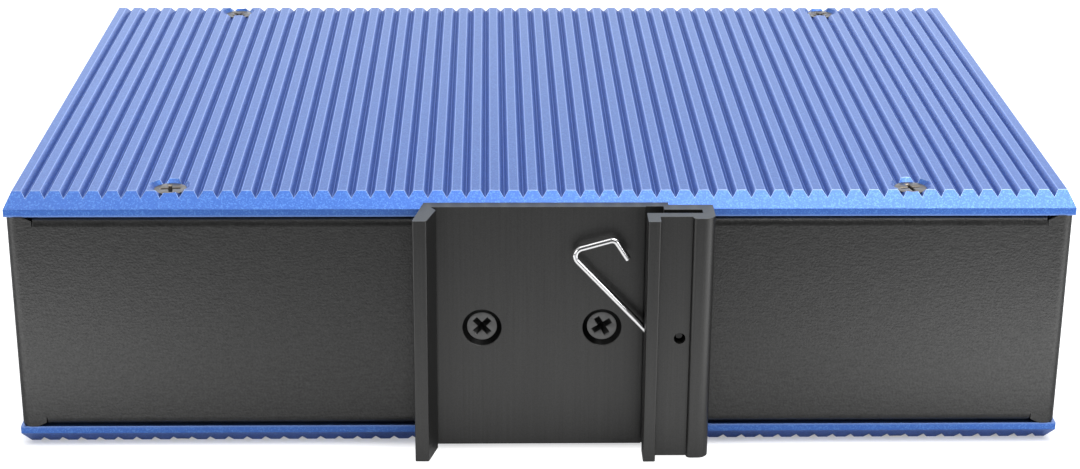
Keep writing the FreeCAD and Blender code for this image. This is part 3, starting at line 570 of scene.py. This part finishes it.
def threaded(radius, start, stop, pitch=0.5 * MM, depth=0.22 * MM):
    """Profile of a thread's crests and roots down a shank, ending on the axis."""
    count = int((start - stop) / pitch) - 1
    points = [(radius, start)]
    for k in range(count):
        height = start - (k + 0.5) * pitch
        points += [(radius - depth, height), (radius, height - pitch / 2)]
    return points + [(radius - depth, stop), (0, stop)]


def screw_blank(name, head_profile, length, span, slot, depth):
    """One cross-head screw, the rim of its recess and head softened."""
    top = head_profile[0][1]
    neck_end = head_profile[-1][1] - 0.2 * MM
    blank = turned(name, head_profile + threaded(SCREW_SHANK, neck_end, top - length))
    cutter = cross_cutter(span, slot, depth, top)
    cut = blank.modifiers.new("recess", "BOOLEAN")
    cut.object = cutter
    cut.solver = "EXACT"
    soft = blank.modifiers.new("soft", "BEVEL")
    soft.width = 0.05 * MM
    soft.segments = 2
    soft.limit_method = "ANGLE"
    soft.angle_limit = math.radians(50)
    mesh = plain_mesh(blank, name)
    bpy.data.objects.remove(blank)
    bpy.data.objects.remove(cutter)
    smooth(mesh)
    return bpy.data.objects.new(name, mesh)


def smooth(mesh, angle=35):
    mesh.polygons.foreach_set("use_smooth", [True] * len(mesh.polygons))
    mesh.set_sharp_from_angle(angle=math.radians(angle))


def flat_head(width):
    """Profile of a 90 degree countersunk head, its face at height 0 and its edge rounded."""
    half = width / 2
    return [(0, 0), (half - 0.16 * MM, 0), (half - 0.06 * MM, -0.02 * MM),
            (half - 0.10 * MM, -0.10 * MM), (SCREW_SHANK, SCREW_SHANK - half)]


def pan_head(width, height):
    """Profile of a domed head that seats at height 0."""
    half = width / 2
    arch = [(half * math.sin(angle) ** 0.8, height * math.cos(angle) ** 0.6)
            for angle in (math.radians(degrees) for degrees in (35, 50, 62, 72, 80))]
    return [(0, height), (half * 0.3, height), *arch,
            (half, 0.12 * MM), (half - 0.08 * MM, 0), (SCREW_SHANK, 0)]


def screw_recipe():
    """Puts a screw on each spot, its axis turned by Facing and itself by the spot's turn."""
    recipe = Recipe("screws on spots", {"Screw": "Object", "Facing": "Rotation",
                                        "Finish": "Material"})
    screw = recipe.node("GeometryNodeObjectInfo", None,
                        {"Object": recipe.given["Screw"], "As Instance": True}, out="Geometry")
    aimed = recipe.node("FunctionNodeRotateRotation", {"rotation_space": "LOCAL"},
                        {"Rotation": recipe.given["Facing"],
                         "Rotate By": recipe.own_turn((0, 0, 1))})
    recipe.ended(recipe.node("GeometryNodeInstanceOnPoints", None, {
        "Points": recipe.given["Geometry"], "Instance": screw, "Rotation": aimed}))
    return recipe


def slot_of(node):
    return next(part["material_slot"] for part in frame["record"]["subparts"]
                if part["node"] == node)


def fit_screws(recipe, node, blank, spots, turns, tilt):
    """Detailed screws in place of a node's plain ones; tilt turns their heads about X."""
    fitted(recipe, node + "_detailed", slot_of(node), spots, turns, replaced=node,
           Screw=blank, Facing=[math.radians(tilt), 0.0, 0.0])


def screws():
    recipe = screw_recipe()
    span = 3.3 * MM
    panel_screw = screw_blank("panel_screw", flat_head(PANEL_HEAD), length=4.8 * MM,
                              span=span, slot=0.62 * MM, depth=1.1 * MM)
    clip_screw = screw_blank("clip_screw", flat_head(CLIP_HEAD), length=5.0 * MM,
                             span=span, slot=0.95 * MM, depth=1.3 * MM)
    ground_screw = screw_blank("ground_screw", pan_head(GROUND_HEAD, GROUND_HEAD_HEIGHT),
                               length=GROUND_HEAD_HEIGHT + 6.0 * MM,
                               span=span, slot=0.7 * MM, depth=1.4 * MM)
    inset = PANEL_HEAD / 2
    for node, face, tilt, turns in (("upper_panel_screws", 1, 0, (8, 52, 12, 33)),
                                    ("lower_panel_screws", 0, 180, (20, 64, 41, 3))):
        low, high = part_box(node)
        spots = [(x, y, (low, high)[face][2]) for x in (low[0] + inset, high[0] - inset)
                 for y in (low[1] + inset, high[1] - inset)]
        fit_screws(recipe, node, panel_screw, spots, turns, tilt)
    low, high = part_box("clip_screws")
    spots = [(x, low[1], (low[2] + high[2]) / 2)
             for x in (low[0] + CLIP_HEAD / 2, high[0] - CLIP_HEAD / 2)]
    fit_screws(recipe, "clip_screws", clip_screw, spots, (44, 32), 90)
    low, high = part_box("ground_screw")
    seat = high[1] - GROUND_HEAD_HEIGHT
    spots = [((low[0] + high[0]) / 2, seat, (low[2] + high[2]) / 2)]
    fit_screws(recipe, "ground_screw", ground_screw, spots, (25,), -90)


screws()


def contact_recipe():
    """Rows of sprung contacts: level near the mouth, sloping up inwards, curled at the tip."""
    recipe = Recipe("sprung contacts", {
        "Count": "Int", "Pitch": "Float", "Reach": "Float", "Rise": "Float", "Foot": "Float",
        "Width": "Float", "Thickness": "Float", "Finish": "Material"})
    given = recipe.given
    bend = (0, 0, 0)
    tip = recipe.point(Y=0.0 - given["Reach"], Z=given["Rise"])
    curl = recipe.point(Y=0.0 - given["Reach"] - given["Thickness"] * 2.0,
                        Z=given["Rise"] - given["Thickness"] * 2.5)
    lines = recipe.node("GeometryNodeJoinGeometry", None, {
        0: [recipe.line(recipe.point(Y=given["Foot"]), bend), recipe.line(bend, tip),
            recipe.line(tip, curl)]})
    section = recipe.node("GeometryNodeCurvePrimitiveQuadrilateral", None,
                          {"Width": given["Width"], "Height": given["Thickness"]})
    wire = recipe.node("GeometryNodeCurveToMesh", None,
                       {"Curve": lines, "Profile Curve": section, "Fill Caps": True})
    row = recipe.node("GeometryNodeMeshLine", {"mode": "OFFSET"},
                      {"Count": given["Count"], "Offset": recipe.point(X=given["Pitch"])})
    wires = recipe.node("GeometryNodeInstanceOnPoints", None, {"Points": row, "Instance": wire})
    recipe.ended(recipe.node("GeometryNodeInstanceOnPoints", None, {
        "Points": given["Geometry"], "Instance": wires, "Rotation": recipe.own_turn((0, 1, 0))}))
    return recipe


def port_contacts():
    """Eight sprung contacts in each port, on the wall between the upper and the lower ports."""
    count, pitch = 8, 1.02 * MM
    foot_inset = 3.6 * MM
    spots, turns = [], []
    for number in range(1, 5):
        low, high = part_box(f"port_jack_{number}")
        middle_x, middle = (low[0] + high[0]) / 2, (low[2] + high[2]) / 2
        wall = (high[2] - low[2]) / 2 - SOCKET_WALL - LATCH_HEIGHT - SOCKET_HEIGHT
        for side, turn in ((-1, 180), (1, 0)):
            spots.append((middle_x - (count - 1) / 2 * pitch * side, high[1] - foot_inset,
                          middle + side * (wall + 0.2 * MM)))
            turns.append(turn)
    fitted(contact_recipe(), "port_contacts", "contact_metal", spots, turns,
           Count=count, Pitch=pitch, Reach=7.5 * MM, Rise=3.4 * MM, Foot=1.6 * MM,
           Width=0.4 * MM, Thickness=0.3 * MM)


port_contacts()


# ---- studio ----
def stage_sheet(name, corners, material):
    """Flat surface that belongs to the studio, not to the switch."""
    mesh = bpy.data.meshes.new(name)
    mesh.from_pydata(corners, [], [(0, 1, 2, 3)])
    mesh.materials.append(material)
    sheet = bpy.data.objects.new(name, mesh)
    bpy.context.scene.collection.objects.link(sheet)


def floor():
    """Pale ground that glows white to the camera, with a painted contact shadow where the glow is
    fainter under and right beside the case.

    Mirrored rays see a painted glow in a strip across it, between the case and the camera, and the
    ground's colour is a painted shade that darkens farther out towards the camera.
    """
    finish = Finish("studio floor")
    sideways, backwards = abs(finish.axis("X")), 0.0 - finish.axis("Y")
    low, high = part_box("lower_side_panel")
    middle, half_depth = (low[1] + high[1]) / 2, (high[1] - low[1]) / 2 - PANEL_BEVEL
    past_side = sideways - (high[0] - PANEL_BEVEL)
    past_end = abs(finish.axis("Y") - middle) - half_depth
    # painted contact shadow: the camera's glow is fainter under and right beside the case
    outside_painted_shadow = past_side.larger(past_end).between(0.3 * MM, 5.0 * MM)
    # painted glow for mirrored rays only, a painted reflection on the case
    strip = (backwards.between(0.053, 0.080) * (1.0 - backwards.between(0.098, 0.150))
             * (0.23 + sideways.between(0.025, 0.11) * 0.50
                + finish.axis("X").between(0.0, 0.08) * 0.15))
    # painted shade: the ground darkens farther out towards the camera, for the case to mirror
    shade = finish.mixed(backwards.between(0.12, 0.32), (0.62, 0.62, 0.62), (0.10, 0.10, 0.10))
    paint = finish.node("ShaderNodeBsdfDiffuse", None, {"Color": shade})
    shown = finish.blended((0.35 + outside_painted_shadow * 0.65) * finish.ray("Camera"),
                           None, finish.glow(1.0))
    lit = finish.blended(strip * finish.ray("Glossy"), shown, finish.glow(2.4))
    finish.ended(finish.node("ShaderNodeAddShader", None, {0: paint, 1: lit}))
    half = 4.0
    stage_sheet("floor", [(-half, -half, 0), (half, -half, 0), (half, half, 0), (-half, half, 0)],
                finish.material)


def backdrop():
    """Wall beyond the case: white to the camera, and to all other rays a painted pale blue glow,
    which the ridges mirror.

    The glow is a little brighter low down and at the wall's ends.
    """
    finish = Finish("studio wall")
    level = (0.46 + abs(finish.axis("X")).between(0.03, 0.50) * 0.16
             + (1.0 - finish.axis("Z").between(0.30, 0.70)) * 0.38)
    # painted glow that lights the case and tints the ridges' reflections blue
    mirrored = finish.blended(level, None, finish.glow(1.78, (0.76, 0.85, 1.0)))
    finish.ended(finish.blended(finish.ray("Camera"), mirrored, finish.glow(1.0)))
    half, far, high = 2.0, 1.6, 1.3
    stage_sheet("backdrop", [(-half, far, 0), (half, far, 0), (half, far, high),
                             (-half, far, high)], finish.material)


def softbox(name, place, aim, width, height, power):
    data = bpy.data.lights.new(name, "AREA")
    data.shape = "RECTANGLE"
    data.size, data.size_y = width, height
    data.energy = power
    light = bpy.data.objects.new(name, data)
    light.location = place
    light.rotation_euler = (Vector(aim) - Vector(place)).to_track_quat("-Z", "Y").to_euler()
    bpy.context.scene.collection.objects.link(light)


def sky():
    """Room light: bright above, beyond the case and to both sides, dim behind the camera.

    The camera sees white.
    """
    world = bpy.data.worlds.new("room")
    bpy.context.scene.world = world
    world.use_nodes = True
    room = Net(world.node_tree)
    toward = room.node("ShaderNodeTexCoord", out="Generated")
    across, along, up = (room.part_of(toward, name) for name in "XYZ")
    level = (0.02 + up.between(0.25, 0.8) * 0.32 + along.between(-0.1, 0.6) * 0.27
             + abs(across).between(0.3, 0.8) * 0.33)
    full, white = (room.node("ShaderNodeBackground", None, {"Strength": strength})
                   for strength in (1.4, 1.0))
    lit = room.blended(room.ray("Camera"), room.blended(level, None, full), white)
    room.node("ShaderNodeOutputWorld", None, {"Surface": lit})


def camera():
    """Behind and above the case, a little left of its middle, looking down on the rail clip."""
    stand = (-8.1 * MM, -374.4 * MM, 158.7 * MM)
    lens, sensor = 74.4, 36.0
    yaw, pitch, roll = math.radians(1.38), math.radians(20.9), math.radians(0.38)
    ahead = Vector((math.sin(yaw) * math.cos(pitch), math.cos(yaw) * math.cos(pitch),
                    -math.sin(pitch)))
    level = Vector((math.cos(yaw), -math.sin(yaw), 0))
    upright = level.cross(ahead)
    right = level * math.cos(roll) + upright * math.sin(roll)
    up = upright * math.cos(roll) - level * math.sin(roll)
    data = bpy.data.cameras.new("camera")
    data.sensor_width = sensor
    data.lens = lens
    eye = bpy.data.objects.new("camera", data)
    turn = Matrix((right, up, -ahead)).transposed().to_4x4()
    eye.matrix_world = Matrix.Translation(stand) @ turn
    bpy.context.scene.collection.objects.link(eye)
    bpy.context.scene.camera = eye


def lamps():
    softbox("overhead_right", (0.26, -0.26, 0.72), (0.04, -0.03, 0.03), 0.5, 0.5, power=3.0)
    softbox("overhead_left", (-0.30, -0.28, 0.70), (-0.07, -0.04, 0.03), 0.3, 0.4, power=0.6)
    softbox("left_front", (-0.50, -0.50, 0.14), (-0.06, -0.05, 0.02), 0.35, 0.25, power=1.0)
    softbox("right_front", (0.50, -0.50, 0.14), (0.06, -0.05, 0.02), 0.35, 0.25, power=1.2)


floor()
backdrop()
sky()
lamps()
camera()
bpy.context.scene.view_settings.view_transform = "Standard"
